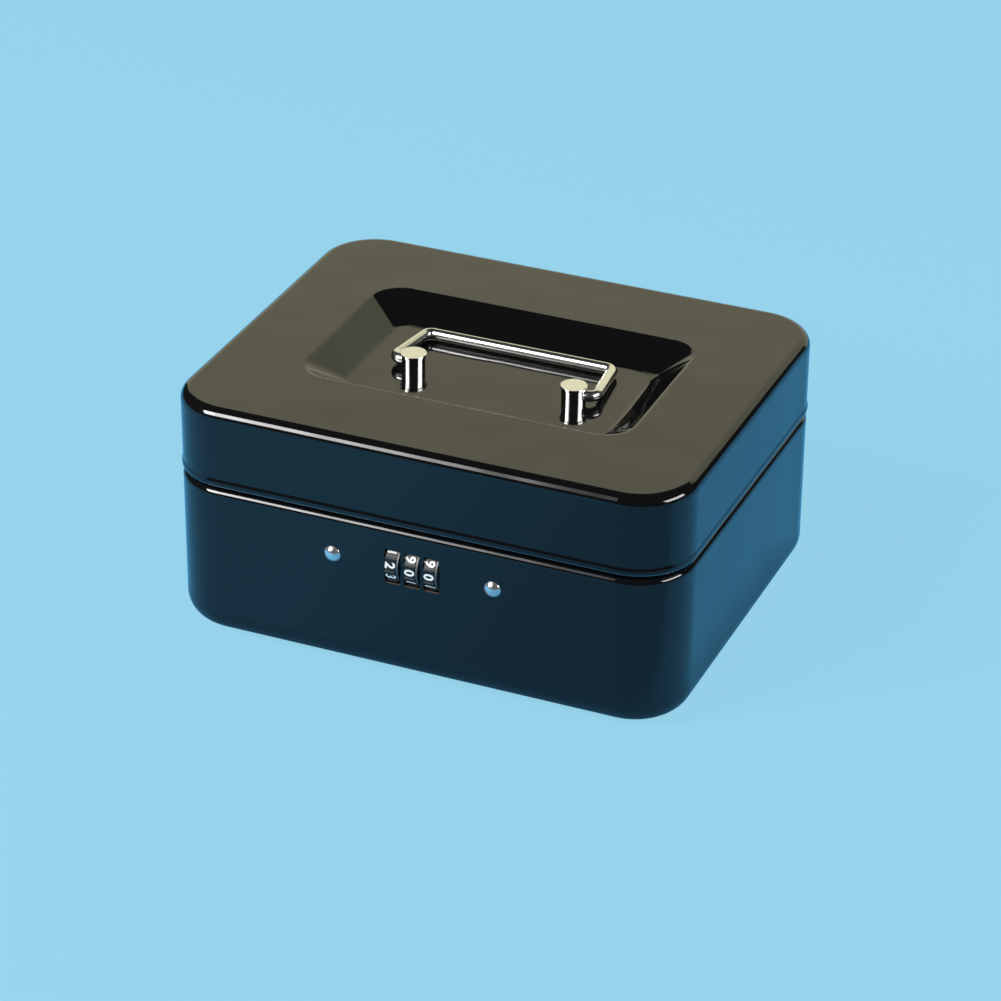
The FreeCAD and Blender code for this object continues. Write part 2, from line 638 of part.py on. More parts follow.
def make_cover_screws():
    """The screws that hold the rear plate, with flat round heads."""
    screws = []
    for x, z in cover_screw_places():
        shank = rod_y(COVER_SCREW_DIAMETER / 2, case_back - COVER_SCREW_LENGTH, cover_back, x, z)
        head = rod_y(COVER_SCREW_HEAD / 2, cover_back, cover_back + COVER_SCREW_HEAD_HEIGHT, x, z)
        screws.append(shank.fuse(head))
    return Part.makeCompound(screws)


def make_code_slider():
    """The slider that opens the dials for a new code: a knob, a neck and a foot inside the plate."""
    x = -SLIDER_TRAVEL / 2
    z = LOCK_HEIGHT + SLIDER_RISE
    half_knob = SLIDER_KNOB_HEIGHT / 2
    half_neck = SLIDER_NECK_HEIGHT / 2
    knob = block(x - SLIDER_WIDTH / 2, x + SLIDER_WIDTH / 2, cover_back + SLIDER_GAP,
                 cover_back + SLIDER_KNOB_PROUD, z - half_knob, z + half_knob)
    neck = block(x - SLIDER_NECK_WIDTH / 2, x + SLIDER_NECK_WIDTH / 2, case_back - SLIDER_GAP,
                 cover_back + SLIDER_GAP, z - half_neck, z + half_neck)
    foot = block(x - SLIDER_WIDTH / 2, x + SLIDER_WIDTH / 2, case_back - SLIDER_GAP - SLIDER_FOOT_THICKNESS,
                 case_back - SLIDER_GAP, z - half_knob, z + half_knob)
    return knob.fuse(neck).fuse(foot)


def make_lock_rivets():
    """The two domed rivets that hold the lock case to the front wall."""
    rivets = []
    front = -BOX_DEPTH / 2
    head_radius = RIVET_HEAD_DIAMETER / 2
    ball = (head_radius ** 2 + RIVET_HEAD_HEIGHT ** 2) / (2 * RIVET_HEAD_HEIGHT)
    back = case_front + EAR_THICKNESS
    for side in (-1, 1):
        x = side * RIVET_SPACING / 2
        dome = Part.makeSphere(ball, Vector(x, front - RIVET_HEAD_HEIGHT + ball, LOCK_HEIGHT))
        dome = dome.common(block(x - ball, x + ball, front - RIVET_HEAD_HEIGHT - OVER, front,
                                 LOCK_HEIGHT - ball, LOCK_HEIGHT + ball))
        shank = rod_y(RIVET_DIAMETER / 2, front, back, x, LOCK_HEIGHT)
        tail = rod_y(RIVET_TAIL_DIAMETER / 2, back, back + RIVET_TAIL_HEIGHT, x, LOCK_HEIGHT)
        rivets.append(dome.fuse(shank).fuse(tail))
    return Part.makeCompound(rivets)


def make_detent_spring():
    """A leaf spring behind the dials, with one finger for each, held under the rear plate."""
    low = LOCK_HEIGHT - dial_radius
    high = LOCK_HEIGHT + DETENT_FINGER_RISE
    half = dial_places[-1] + DIAL_WIDTH / 2
    back = detent_front + DETENT_SHEET
    spring = block(-half, half, detent_front, back, low, high)
    spring = spring.fuse(block(-half, half, detent_front, case_back, low, low + DETENT_SHEET))
    for x in dial_places[:-1]:
        middle = x + dial_pitch / 2
        half_gap = DETENT_FINGER_GAP / 2
        spring = spring.cut(block(middle - half_gap, middle + half_gap, detent_front - OVER, back + OVER,
                                  low + DETENT_FINGER_ROOT, high + OVER))
    return spring.removeSplitter()


def make_lid_catch():
    """The plate welded inside the lid's front, with a leg whose toe hooks under the bolt."""
    plate_bottom = lip_top + CATCH_PLATE_GAP
    plate_top = BOX_HEIGHT - LID_EDGE_ROUND - CATCH_TOP_GAP
    plate = block(catch_x + CATCH_SHEET - CATCH_PLATE_WIDTH, catch_x + CATCH_SHEET, case_front,
                  case_front + CATCH_SHEET, plate_bottom, plate_top)
    notch_back = dial_y + bolt_radius + CATCH_BOLT_GAP
    notch_top = LOCK_HEIGHT + bolt_radius + CATCH_BOLT_GAP
    outline = [
        (case_front, plate_top),
        (leg_back, plate_top),
        (leg_back, toe_bottom),
        (leg_front + CATCH_TOE_CHAMFER, toe_bottom),
        (leg_front, toe_bottom + CATCH_TOE_CHAMFER),
        (leg_front, toe_top),
        (notch_back, toe_top),
        (notch_back, notch_top),
        (leg_front, notch_top),
        (leg_front, plate_bottom),
        (case_front, plate_bottom),
    ]
    leg = prism_x(outline, catch_x, catch_x + CATCH_SHEET)
    return plate.fuse(leg).removeSplitter()


def tray_pocket(x0, x1, y0, y1, floor, top):
    """A tray compartment with round corners and a scooped front and rear."""
    profile = [
        Part.LineSegment(Vector(x0, y0, top), Vector(x0, y0, floor + TRAY_SCOOP)).toShape(),
        scoop_arc(x0, y0, floor, 1),
        Part.LineSegment(Vector(x0, y0 + TRAY_SCOOP, floor), Vector(x0, y1 - TRAY_SCOOP, floor)).toShape(),
        scoop_arc(x0, y1, floor, -1),
        Part.LineSegment(Vector(x0, y1, floor + TRAY_SCOOP), Vector(x0, y1, top)).toShape(),
        Part.LineSegment(Vector(x0, y1, top), Vector(x0, y0, top)).toShape(),
    ]
    scooped = Part.Face(Part.Wire(Part.__sortEdges__(profile))).extrude(Vector(x1 - x0, 0, 0))
    upright = rounded_prism(x1 - x0, y1 - y0, TRAY_POCKET_CORNER, floor - OVER, top + OVER)
    upright.translate(Vector((x0 + x1) / 2, (y0 + y1) / 2, 0))
    return scooped.common(upright)


def scoop_arc(x, y, floor, inward):
    """The quarter circle at the foot of a scooped compartment wall."""
    lean = TRAY_SCOOP * (1 - math.cos(math.pi / 4))
    points = [
        Vector(x, y, floor + TRAY_SCOOP),
        Vector(x, y + inward * lean, floor + lean),
        Vector(x, y + inward * TRAY_SCOOP, floor),
    ]
    return Part.Arc(*points).toShape()


def make_coin_tray():
    """The lift-out tray: a row of coin cups behind two wider compartments, hung on side flanges."""
    length = tray_rear - tray_front
    middle = (tray_front + tray_rear) / 2
    tray = rounded_prism(2 * tray_half_width, length, TRAY_CORNER, tray_bottom, tray_top)
    tray.translate(Vector(0, middle, 0))
    flange_reach = BOX_WIDTH / 2 - SHEET - lip_inset + LIP_CLEARANCE + SHEET - TRAY_FLANGE_GAP
    tray = tray.fuse(block(-flange_reach, flange_reach, -TRAY_FLANGE_LENGTH / 2, TRAY_FLANGE_LENGTH / 2,
                           lip_top, tray_top))
    floor = tray_bottom + TRAY_WALL
    inner_half = tray_half_width - TRAY_WALL
    cup_rear = tray_rear - TRAY_WALL
    cup_front = cup_rear - TRAY_CUP_DEPTH
    rows = [(TRAY_CUPS, cup_front, cup_rear), (TRAY_CUPS - 1, tray_front + TRAY_WALL, cup_front - TRAY_WALL)]
    for count, near, far in rows:
        width = (2 * inner_half - (count - 1) * TRAY_WALL) / count
        for number in range(count):
            start = -inner_half + number * (width + TRAY_WALL)
            tray = tray.cut(tray_pocket(start, start + width, near, far, floor, tray_top + OVER))
    divider = cup_front - TRAY_WALL / 2
    notch = rod_y(TRAY_NOTCH_RADIUS, divider - TRAY_WALL, divider + TRAY_WALL,
                  0, tray_top + TRAY_NOTCH_RADIUS - TRAY_NOTCH_DEPTH)
    return tray.cut(notch).removeSplitter()


def make_parts():
    """Every node's name and shape."""
    parts = {
        "base_shell": make_base_shell(),
        "hinge_base_leaf": make_hinge_leaf(-1),
        "hinge_pin": make_hinge_pin(),
        "lock_case": make_lock_case(),
        "lock_cover": make_lock_cover(),
        "cover_screws": make_cover_screws(),
        "lock_rivets": make_lock_rivets(),
        "dial_spacers": make_dial_spacers(),
        "detent_spring": make_detent_spring(),
        "bolt_spring": make_bolt_spring(),
        "lid_shell": make_lid_shell(),
        "hinge_lid_leaf": make_hinge_leaf(1),
        "lid_catch": make_lid_catch(),
        "handle_post_left": make_handle_post(-1),
        "handle_post_right": make_handle_post(1),
        "handle_washers": make_handle_washers(),
        "handle_nuts": make_handle_nuts(),
        "handle_bail": make_handle_bail(),
        "bolt_spindle": make_bolt_spindle(),
        "code_slider": make_code_slider(),
        "coin_tray": make_coin_tray(),
    }
    for number, x in enumerate(dial_places, start=1):
        parts[f"dial_ring_{number}"] = make_dial_ring(x, DIAL_TURNS[number - 1])
        parts[f"code_sleeve_{number}"] = make_code_sleeve(x)
    return parts


os.makedirs("parts", exist_ok=True)
for name, shape in make_parts().items():
    if not shape.isValid() or min(solid.Volume for solid in shape.Solids) <= 0:
        raise RuntimeError(f"{name} is not a sound solid")
    shape.exportStep(f"parts/{name}.step")
    print(name, len(shape.Solids), round(shape.Volume, 2))
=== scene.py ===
import math

import bmesh
import bpy
from mathutils import Matrix, Vector


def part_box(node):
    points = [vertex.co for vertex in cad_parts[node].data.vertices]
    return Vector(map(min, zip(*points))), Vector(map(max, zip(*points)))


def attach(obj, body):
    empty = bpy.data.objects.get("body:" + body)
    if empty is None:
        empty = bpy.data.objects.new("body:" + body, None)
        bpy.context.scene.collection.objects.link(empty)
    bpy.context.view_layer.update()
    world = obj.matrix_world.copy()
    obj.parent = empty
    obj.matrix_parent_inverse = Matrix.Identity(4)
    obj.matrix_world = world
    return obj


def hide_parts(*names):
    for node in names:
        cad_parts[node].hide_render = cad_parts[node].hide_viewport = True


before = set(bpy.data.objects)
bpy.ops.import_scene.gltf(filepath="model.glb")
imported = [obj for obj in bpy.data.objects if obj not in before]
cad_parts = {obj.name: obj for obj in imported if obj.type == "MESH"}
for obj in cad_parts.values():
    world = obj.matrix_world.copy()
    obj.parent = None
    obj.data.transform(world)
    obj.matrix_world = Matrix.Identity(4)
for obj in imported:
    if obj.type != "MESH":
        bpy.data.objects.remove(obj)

bl_info = {
    "name": "Cash Box",
    "version": (1, 0, 0),
    "blender": (4, 5, 0),
    "location": "3D View > Sidebar > Cash Box",
    "description": "Dresses a small steel cash box with a three-dial lock and a folding wire handle",
    "category": "Add Mesh",
}

MM = 0.001

# Each dial has ten faces. These are the digit at its front, and how far that face is turned about X.
FACES = 10
STEP = 2 * math.pi / FACES
FRONT_DIGITS = (2, 0, 0)
FRONT_TURNS = (math.radians(-9), 0.0, 0.0)
POINTS_PER_FACE = 6
RIB_SIDES = 20
RING_SHARP_ANGLE = math.radians(20)
RIB_SHARP_ANGLE = math.radians(40)
# A digit's height as a share of the font's size, and the steps in each of its curves.
DIGIT_SHARE = 0.73
DIGIT_CURVE_STEPS = 6

# The sheet's cut edge in the dial slots. It is bare steel, drawn lighter and warmer as a painted highlight
# of the warm light it catches. These give where it lies behind the front wall, and how far round the dials
# it reaches.
CUT_START = 0.06 * MM
CUT_END = 0.74 * MM
CUT_MARGIN_X = 2 * MM
CUT_MARGIN_Z = 3 * MM
# The height of the steel band along the lid's lower edge. The band is a painted reflection of the base
# shoulder's highlight, mirrored in the lid's edge.
HIGHLIGHT_BAND_RISE = 0.45 * MM

# The camera's place round the box, and its view in the pixels of the picture.
PICTURE_WIDTH = 1001
FOCAL_LENGTH = 3701.1
VIEW_SHIFT_RIGHT = 1.4
VIEW_SHIFT_DOWN = 28.7
CAMERA_TURN = math.radians(22.86)
CAMERA_RISE = math.radians(28.83)
CAMERA_ROLL = math.radians(0.48)
CAMERA_DISTANCE = 1043.6 * MM
AIM_HEIGHT = 35 * MM
SENSOR_WIDTH = 36.0

# The floor, and the painted shade that darkens it in reflections: a contact shade at the box's foot, and a
# painted dark patch ahead of the box. That patch deepens from left to right along X, and from near to far
# along Y.
FLOOR_REACH = 4.0
FLOOR_DROP = 0.1 * MM
FOOT_REACH = 14 * MM
FOOT_SAMPLES = 6
SHADE_PATCH_LEFT = -48 * MM
SHADE_PATCH_RIGHT = 22 * MM
SHADE_PATCH_NEAR = -60 * MM
SHADE_PATCH_FAR = -75 * MM
SHADE_PATCH_SHARE = 0.34

# How far the roughness of the enamel and of the plastics swings to each side, as a share.
ENAMEL_SWING = 0.3
PLASTIC_SWING = 0.15

POST_NODES = ("handle_post_left", "handle_post_right")
ZINC_NODES = ("handle_washers", "handle_nuts", "lid_catch", "hinge_pin", "lock_cover", "cover_screws",
              "bolt_spindle", "dial_spacers")
SPRING_NODES = ("detent_spring", "bolt_spring")
SLEEVE_NODES = ("code_sleeve_1", "code_sleeve_2", "code_sleeve_3")


def linear(code):
    """An sRGB hex colour as linear red, green, blue and alpha."""
    parts = [int(code[place:place + 2], 16) / 255 for place in (1, 3, 5)]
    parts = [part / 12.92 if part <= 0.04045 else ((part + 0.055) / 1.055) ** 2.4 for part in parts]
    return (*parts, 1.0)


def colour_property(name, description, code):
    return bpy.props.FloatVectorProperty(name=name, description=description, subtype="COLOR", size=4,
                                         min=0.0, max=1.0, default=linear(code))


def length_property(name, description, millimetres):
    return bpy.props.FloatProperty(name=name, description=description, subtype="DISTANCE", unit="LENGTH",
                                   min=0.0, precision=5, default=millimetres * MM)


def share_property(name, description, share):
    return bpy.props.FloatProperty(name=name, description=description, subtype="FACTOR", min=0.0, max=1.0,
                                   default=share)


def power_property(name, description, watts):
    return bpy.props.FloatProperty(name=name, description=description, unit="POWER", min=0.0, default=watts)


class CashBoxFinish(bpy.types.PropertyGroup):
    """Colours and finishes of the painted, plated and moulded pieces"""

    enamel: colour_property("Enamel", "Colour of the stoved paint on the box", "#0B0B0C")
    enamel_roughness: share_property("Enamel roughness", "How soft the paint's reflections are", 0.07)
    peel_size: length_property("Orange peel size", "Distance between bumps in the paint film", 1.6)
    peel_height: length_property("Orange peel height", "Height of the bumps in the paint film", 0.0012)
    wave_size: length_property("Sheet wave size", "Distance between waves in the pressed sheet", 26.0)
    wave_height: length_property("Sheet wave height", "Height of the waves in the pressed sheet", 0.42)
    # Bare steel at the slots' cut edge, drawn lighter and warmer as a painted highlight of the light it
    # catches.
    cut_edge: colour_property("Cut edge and highlight", "Colour of the sheet's cut edge in the dial slots", "#6B5A50")
    # A painted reflection of the base shoulder's highlight, drawn as steel along the lid's lower edge.
    rubbed_edge: colour_property("Lid edge highlight", "Colour of the steel at the lid's lower edge", "#A9A9AB")
    chrome: colour_property("Chrome", "Colour of the bright plated handle, posts and rivets", "#E2E1DE")
    zinc: colour_property("Zinc", "Colour of the plated steel inside", "#B9BCBF")
    casting: colour_property("Casting", "Colour of the cast lock case", "#8E9092")
    spring: colour_property("Spring steel", "Colour of the springs in the lock", "#6E747C")
    nickel: colour_property("Nickel", "Colour of the plated sleeves inside the number rings", "#6F6E6C")
    tray: colour_property("Tray", "Colour of the moulded tray", "#1B1C1E")
    slider: colour_property("Slider", "Colour of the moulded code slider", "#55585C")


class CashBoxDials(bpy.types.PropertyGroup):
    """Sizes and colours of the number dials"""

    plastic: colour_property("Plastic", "Colour of the number rings", "#0D0D0E")
    paint: colour_property("Numeral paint", "Colour of the numerals", "#F4F3EF")
    thin_paint: colour_property("Thin paint", "Colour of the numerals where the paint is thin", "#D9D9D6")
    numeral_height: length_property("Numeral height", "Height of a numeral, along the dial's axis", 2.9)
    numeral_weight: length_property("Numeral weight", "How far a stroke is widened on each side", 0.09)
    numeral_relief: length_property("Numeral relief", "How far a numeral stands off its face", 0.05)
    face_depth: length_property("Face depth", "How far the faces lie below the CAD ring's faces", 0.16)
    rib_radius: length_property("Rib radius", "Radius of the rib between two faces", 0.34)
    edge_chamfer: length_property("Edge chamfer", "Width of the broken edge of a number ring", 0.3)
    ring_bore: length_property("Ring bore", "Radius of the hole that the sleeve goes through", 4.66)


class CashBoxStage(bpy.types.PropertyGroup):
    """Floor, background and lights"""

    floor: colour_property("Floor", "Colour of the floor as the camera sees it", "#97D3EB")
    floor_mirrored: colour_property("Floor in reflections", "Colour of the floor in the paint", "#5DC0FB")
    shadow: share_property("Shadow", "How much of the floor's light comes from the lamps", 0.07)
    room: colour_property("Room", "Colour of the dim room round the stage", "#2C2F31")
    lamp: colour_property("Softboxes", "Colour of the softboxes", "#FFFFFF")
    back_card: colour_property("Back card", "Colour of the lit card behind the box", "#FFFBD6")
    back_power: power_property("Back card power", "Power of the card behind the box", 8.6)
    left_power: power_property("Left softbox power", "Power of the softbox at the front left", 25.0)
    right_power: power_property("Right softbox power", "Power of the softbox at the right", 9.0)


def add_node(tree, kind, values=None, links=None, **settings):
    """A node with its settings, socket values and incoming links."""
    made = tree.nodes.new(kind)
    for name, value in settings.items():
        setattr(made, name, value)
    for name, value in (values or {}).items():
        made.inputs[name].default_value = value
    for name, source in (links or {}).items():
        tree.links.new(source, made.inputs[name])
    return made


def new_material(name, **values):
    """A material with one Principled shader, its node tree and its Object coordinates."""
    made = bpy.data.materials.new(name)
    made.use_nodes = True
    tree = made.node_tree
    tree.nodes.clear()
    shader = add_node(tree, "ShaderNodeBsdfPrincipled", values)
    add_node(tree, "ShaderNodeOutputMaterial", links={"Surface": shader.outputs["BSDF"]})
    place = add_node(tree, "ShaderNodeTexCoord").outputs["Object"]
    return made, tree, shader, place


def spread(tree, source, low, high):
    """A 0 to 1 value carried to a range."""
    made = add_node(tree, "ShaderNodeMapRange", {"To Min": low, "To Max": high}, {"Value": source})
    return made.outputs["Result"]


def noise(tree, place, size, detail=2.0, stretch=None):
    """A noise whose grains are about size metres apart."""
    if stretch:
        place = add_node(tree, "ShaderNodeMapping", {"Scale": stretch}, {"Vector": place}).outputs["Vector"]
    made = add_node(tree, "ShaderNodeTexNoise", {"Scale": 1 / size, "Detail": detail}, {"Vector": place})
    return made.outputs["Fac"]


def bump(tree, height, distance, under=None):
    """A bump of so many metres, laid over another one."""
    links = {"Height": height}
    if under is not None:
        links["Normal"] = under
    return add_node(tree, "ShaderNodeBump", {"Distance": distance}, links).outputs["Normal"]


def within(tree, place, low, high):
    """1 inside a box given by two corners, in Object coordinates, and 0 outside it."""
    half = [(b - a) / 2 for a, b in zip(low, high)]
    middle = [(a + b) / 2 for a, b in zip(low, high)]
    moved = add_node(tree, "ShaderNodeVectorMath", {1: middle}, {0: place}, operation="SUBTRACT").outputs[0]
    scaled = add_node(tree, "ShaderNodeVectorMath", {1: half}, {0: moved}, operation="DIVIDE").outputs[0]
    reach = add_node(tree, "ShaderNodeVectorMath", links={0: scaled}, operation="ABSOLUTE").outputs[0]
    sides = add_node(tree, "ShaderNodeSeparateXYZ", links={"Vector": reach}).outputs
    most = sides["X"]
    for side in (sides["Y"], sides["Z"]):
        most = add_node(tree, "ShaderNodeMath", links={0: most, 1: side}, operation="MAXIMUM").outputs[0]
    return add_node(tree, "ShaderNodeMath", {1: 1.0}, {0: most}, operation="LESS_THAN").outputs[0]


def make_enamel(finish, name, low, high, band_colour, band_metal):
    """Stoved black enamel: mirror-like, with the faint waves of pressed sheet and a fine orange peel."""
    made, tree, shader, place = new_material(name, **{"IOR": 1.5})
    # In a band the paint gives way to a lighter, part-metal colour. On the slots' cut edge it is bare steel
    # and also a painted highlight of the warm light caught there. On the lid's lower edge it is a painted
    # reflection of the base shoulder's highlight.
    highlight_band = within(tree, place, low, high)
    paint = add_node(tree, "ShaderNodeMix", {"A": finish.enamel, "B": band_colour}, data_type="RGBA")
    tree.links.new(highlight_band, paint.inputs["Factor"])
    tree.links.new(paint.outputs["Result"], shader.inputs["Base Color"])
    tree.links.new(spread(tree, highlight_band, 0.0, band_metal), shader.inputs["Metallic"])
    # Broad waves bend the reflections on the flat walls, as drawn sheet does.
    waves = noise(tree, place, finish.wave_size, detail=1.0, stretch=(1.0, 1.0, 0.35))
    under = bump(tree, waves, finish.wave_height)
    # The orange peel breaks up the edge of each highlight.
    peel = noise(tree, place, finish.peel_size)
    tree.links.new(bump(tree, peel, finish.peel_height, under), shader.inputs["Normal"])
    # Handling leaves the gloss a little uneven.
    smears = noise(tree, place, 18 * MM, detail=4.0)
    rough = spread(tree, smears, finish.enamel_roughness * (1 - ENAMEL_SWING),
                   finish.enamel_roughness * (1 + ENAMEL_SWING))
    tree.links.new(rough, shader.inputs["Roughness"])
    return made


def make_bright_plate(finish, name, smooth, rough, stretch=None, metallic=1.0):
    """Bright plate, with the faint marks of polishing or drawing."""
    made, tree, shader, place = new_material(name, **{"Base Color": finish.chrome, "Metallic": metallic})
    # Fine marks soften the reflection here and there. They are drawn coarser than real ones, to show.
    marks = noise(tree, place, 1.2 * MM, detail=3.0, stretch=stretch)
    tree.links.new(spread(tree, marks, smooth, rough), shader.inputs["Roughness"])
    tree.links.new(bump(tree, marks, 0.001 * MM), shader.inputs["Normal"])
    return made


def make_zinc(finish):
    """Zinc plate: a dull metal with cloudy patches."""
    made, tree, shader, place = new_material("zinc plate on steel",
                                             **{"Base Color": finish.zinc, "Metallic": 1.0})
    # Cloudy patches keep a plated sheet from looking like a mirror.
    clouds = noise(tree, place, 4 * MM, detail=4.0)
    tree.links.new(spread(tree, clouds, low=0.28, high=0.46), shader.inputs["Roughness"])
    # The plate's crystals blur its reflections. They are drawn coarser than real ones, to show.
    grain = noise(tree, place, 0.4 * MM)
    tree.links.new(bump(tree, grain, 0.004 * MM), shader.inputs["Normal"])
    return made


def make_casting(finish):
    """Zinc casting as it leaves the die: matt, with a fine grain."""
    made, tree, shader, place = new_material("die-cast zinc",
                                             **{"Base Color": finish.casting, "Metallic": 1.0})
    # The grain of the die spreads every reflection. It is drawn coarser than the real grain, to show.
    grain = noise(tree, place, 0.7 * MM, detail=5.0)
    tree.links.new(spread(tree, grain, low=0.42, high=0.62), shader.inputs["Roughness"])
    tree.links.new(bump(tree, grain, 0.02 * MM), shader.inputs["Normal"])
    return made


def make_spring_steel(finish):
    """Spring steel: dark blue-grey metal with drawing lines."""
    made, tree, shader, place = new_material("blued spring steel",
                                             **{"Base Color": finish.spring, "Metallic": 1.0})
    # Lines from drawing and rolling streak the reflection. They are drawn coarser than real ones, to show.
    lines = noise(tree, place, 0.3 * MM, stretch=(0.2, 1.0, 1.0))
    tree.links.new(spread(tree, lines, low=0.22, high=0.4), shader.inputs["Roughness"])
    return made


def make_nickel(finish):
    """Nickel plate on turned brass: a satin metal."""
    made, tree, shader, place = new_material("nickel plate on turned brass",
                                             **{"Base Color": finish.nickel, "Metallic": 1.0})
    # Facing marks from the lathe make the sheen uneven. They are drawn coarser than real ones, to show.
    marks = noise(tree, place, 0.5 * MM, detail=3.0)
    tree.links.new(spread(tree, marks, low=0.5, high=0.65), shader.inputs["Roughness"])
    return made


def make_plastic(name, colour, rough, grain_size, grain_height):
    """Moulded plastic with the fine spark grain of its mould."""
    made, tree, shader, place = new_material(name, **{"Base Color": colour, "IOR": 1.5})
    # The mould's grain gives a soft, even sheen. It is drawn coarser than the real grain, to show.
    grain = noise(tree, place, grain_size, detail=3.0)
    sheen = spread(tree, grain, rough * (1 - PLASTIC_SWING), rough * (1 + PLASTIC_SWING))
    tree.links.new(sheen, shader.inputs["Roughness"])
    tree.links.new(bump(tree, grain, grain_height), shader.inputs["Normal"])
    return made


def make_numeral_paint(dials):
    """White filling paint, a little uneven as it is wiped into the moulding."""
    made, tree, shader, place = new_material("white numeral paint", **{"Roughness": 0.45})
    # Thin places in the paint let a trace of the black through.
    cover = noise(tree, place, 0.6 * MM, detail=3.0)
    paint = add_node(tree, "ShaderNodeMix", {"A": dials.thin_paint, "B": dials.paint}, data_type="RGBA")
    tree.links.new(cover, paint.inputs["Factor"])
    tree.links.new(paint.outputs["Result"], shader.inputs["Base Color"])
    return made


def dress(names, material):
    """One material on CAD nodes that keep their shape."""
    for name in names:
        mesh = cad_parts[name].data
        mesh.materials.clear()
        mesh.materials.append(material)


def add_piece(name, mesh, body):
    """A finished mesh at the origin that moves with a CAD body."""
    made = bpy.data.objects.new(name, mesh)
    bpy.context.scene.collection.objects.link(made)
    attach(made, body)
    return made


def plain_mesh(maker):
    """The evaluated mesh of an object, which is then removed."""
    bpy.context.view_layer.update()
    graph = bpy.context.evaluated_depsgraph_get()
    mesh = bpy.data.meshes.new_from_object(maker.evaluated_get(graph))
    bpy.data.objects.remove(maker)
    return mesh


def dial_axis(number):
    """The middle of a dial ring, its half width and the radius of its corners, from the CAD node."""
    low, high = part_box(f"dial_ring_{number}")
    sleeve_low, sleeve_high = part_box(f"code_sleeve_{number}")
    middle = (sleeve_low + sleeve_high) / 2
    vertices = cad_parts[f"dial_ring_{number}"].data.vertices
    corner = max((vertex.co - middle).yz.length for vertex in vertices)
    return Vector(((low.x + high.x) / 2, middle.y, middle.z)), (high.x - low.x) / 2, corner


def face_turn(number, digit):
    """How far round from the front, upwards, a digit's face lies."""
    return -STEP * (digit - FRONT_DIGITS[number - 1]) - FRONT_TURNS[number - 1]


def ring_mesh(centre, half_width, apothem, bore, chamfer, turn):
    """A ten-sided ring with broken edges and a round bore."""
    made = bmesh.new()
    count = FACES * POINTS_PER_FACE
    rows = [(-half_width, bore, True), (-half_width, apothem - chamfer, False),
            (-half_width + chamfer, apothem, False), (half_width - chamfer, apothem, False),
            (half_width, apothem - chamfer, False), (half_width, bore, True)]
    loops = []
    for x, reach, is_round in rows:
        loop = []
        for place in range(count):
            angle = 2 * math.pi * place / count - turn + STEP / 2
            off_face = (angle + turn + STEP / 2) % STEP - STEP / 2
            radius = reach if is_round else reach / math.cos(off_face)
            offset = Vector((x, -radius * math.cos(angle), radius * math.sin(angle)))
            loop.append(made.verts.new(centre + offset))
        loops.append(loop)
    for one, two in zip(loops, loops[1:] + loops[:1]):
        for place in range(count):
            after = (place + 1) % count
            made.faces.new((one[place], one[after], two[after], two[place]))
    bmesh.ops.recalc_face_normals(made, faces=made.faces)
    mesh = bpy.data.meshes.new("number_ring")
    made.to_mesh(mesh)
    made.free()
    mesh.shade_smooth()
    mesh.set_sharp_from_angle(angle=RING_SHARP_ANGLE)
    return mesh


def rib_group(material):
    """Geometry nodes that set equal ribs round the X axis."""
    group = bpy.data.node_groups.new("ribs round a dial", "GeometryNodeTree")
    sockets = {
        "Ribs": "NodeSocketInt",
        "Ring radius": "NodeSocketFloat",
        "Rib radius": "NodeSocketFloat",
        "Rib length": "NodeSocketFloat",
        "Middle": "NodeSocketVector",
        "Turn": "NodeSocketVector",
    }
    for name, kind in sockets.items():
        group.interface.new_socket(name=name, in_out="INPUT", socket_type=kind)
    group.interface.new_socket(name="Geometry", in_out="OUTPUT", socket_type="NodeSocketGeometry")
    given = add_node(group, "NodeGroupInput").outputs
    ring = add_node(group, "GeometryNodeMeshCircle", links={"Vertices": given["Ribs"],
                                                            "Radius": given["Ring radius"]})
    rod = add_node(group, "GeometryNodeMeshCylinder", {"Vertices": RIB_SIDES},
                   {"Radius": given["Rib radius"], "Depth": given["Rib length"]})
    ribs = add_node(group, "GeometryNodeInstanceOnPoints", links={"Points": ring.outputs["Mesh"],
                                                                  "Instance": rod.outputs["Mesh"]})
    along = add_node(group, "GeometryNodeTransform", {"Rotation": (0.0, math.pi / 2, 0.0)},
                     {"Geometry": ribs.outputs["Instances"]})
    placed = add_node(group, "GeometryNodeTransform", links={"Geometry": along.outputs["Geometry"],
                                                             "Translation": given["Middle"],
                                                             "Rotation": given["Turn"]})
    whole = add_node(group, "GeometryNodeRealizeInstances", links={"Geometry": placed.outputs["Geometry"]})
    painted = add_node(group, "GeometryNodeSetMaterial", {"Material": material},
                       {"Geometry": whole.outputs["Geometry"]})
    add_node(group, "NodeGroupOutput", links={"Geometry": painted.outputs["Geometry"]})
    return group


def rib_mesh(group, values):
    """The ribs of one dial as a plain mesh."""
    maker = bpy.data.objects.new("ribs", bpy.data.meshes.new("ribs"))
    bpy.context.scene.collection.objects.link(maker)
    modifier = maker.modifiers.new("ribs", "NODES")
    modifier.node_group = group
    for item in group.interface.items_tree:
        if item.in_out == "INPUT":
            modifier[item.identifier] = values[item.name]
    mesh = plain_mesh(maker)
    mesh.shade_smooth()
    mesh.set_sharp_from_angle(angle=RIB_SHARP_ANGLE)
    return mesh


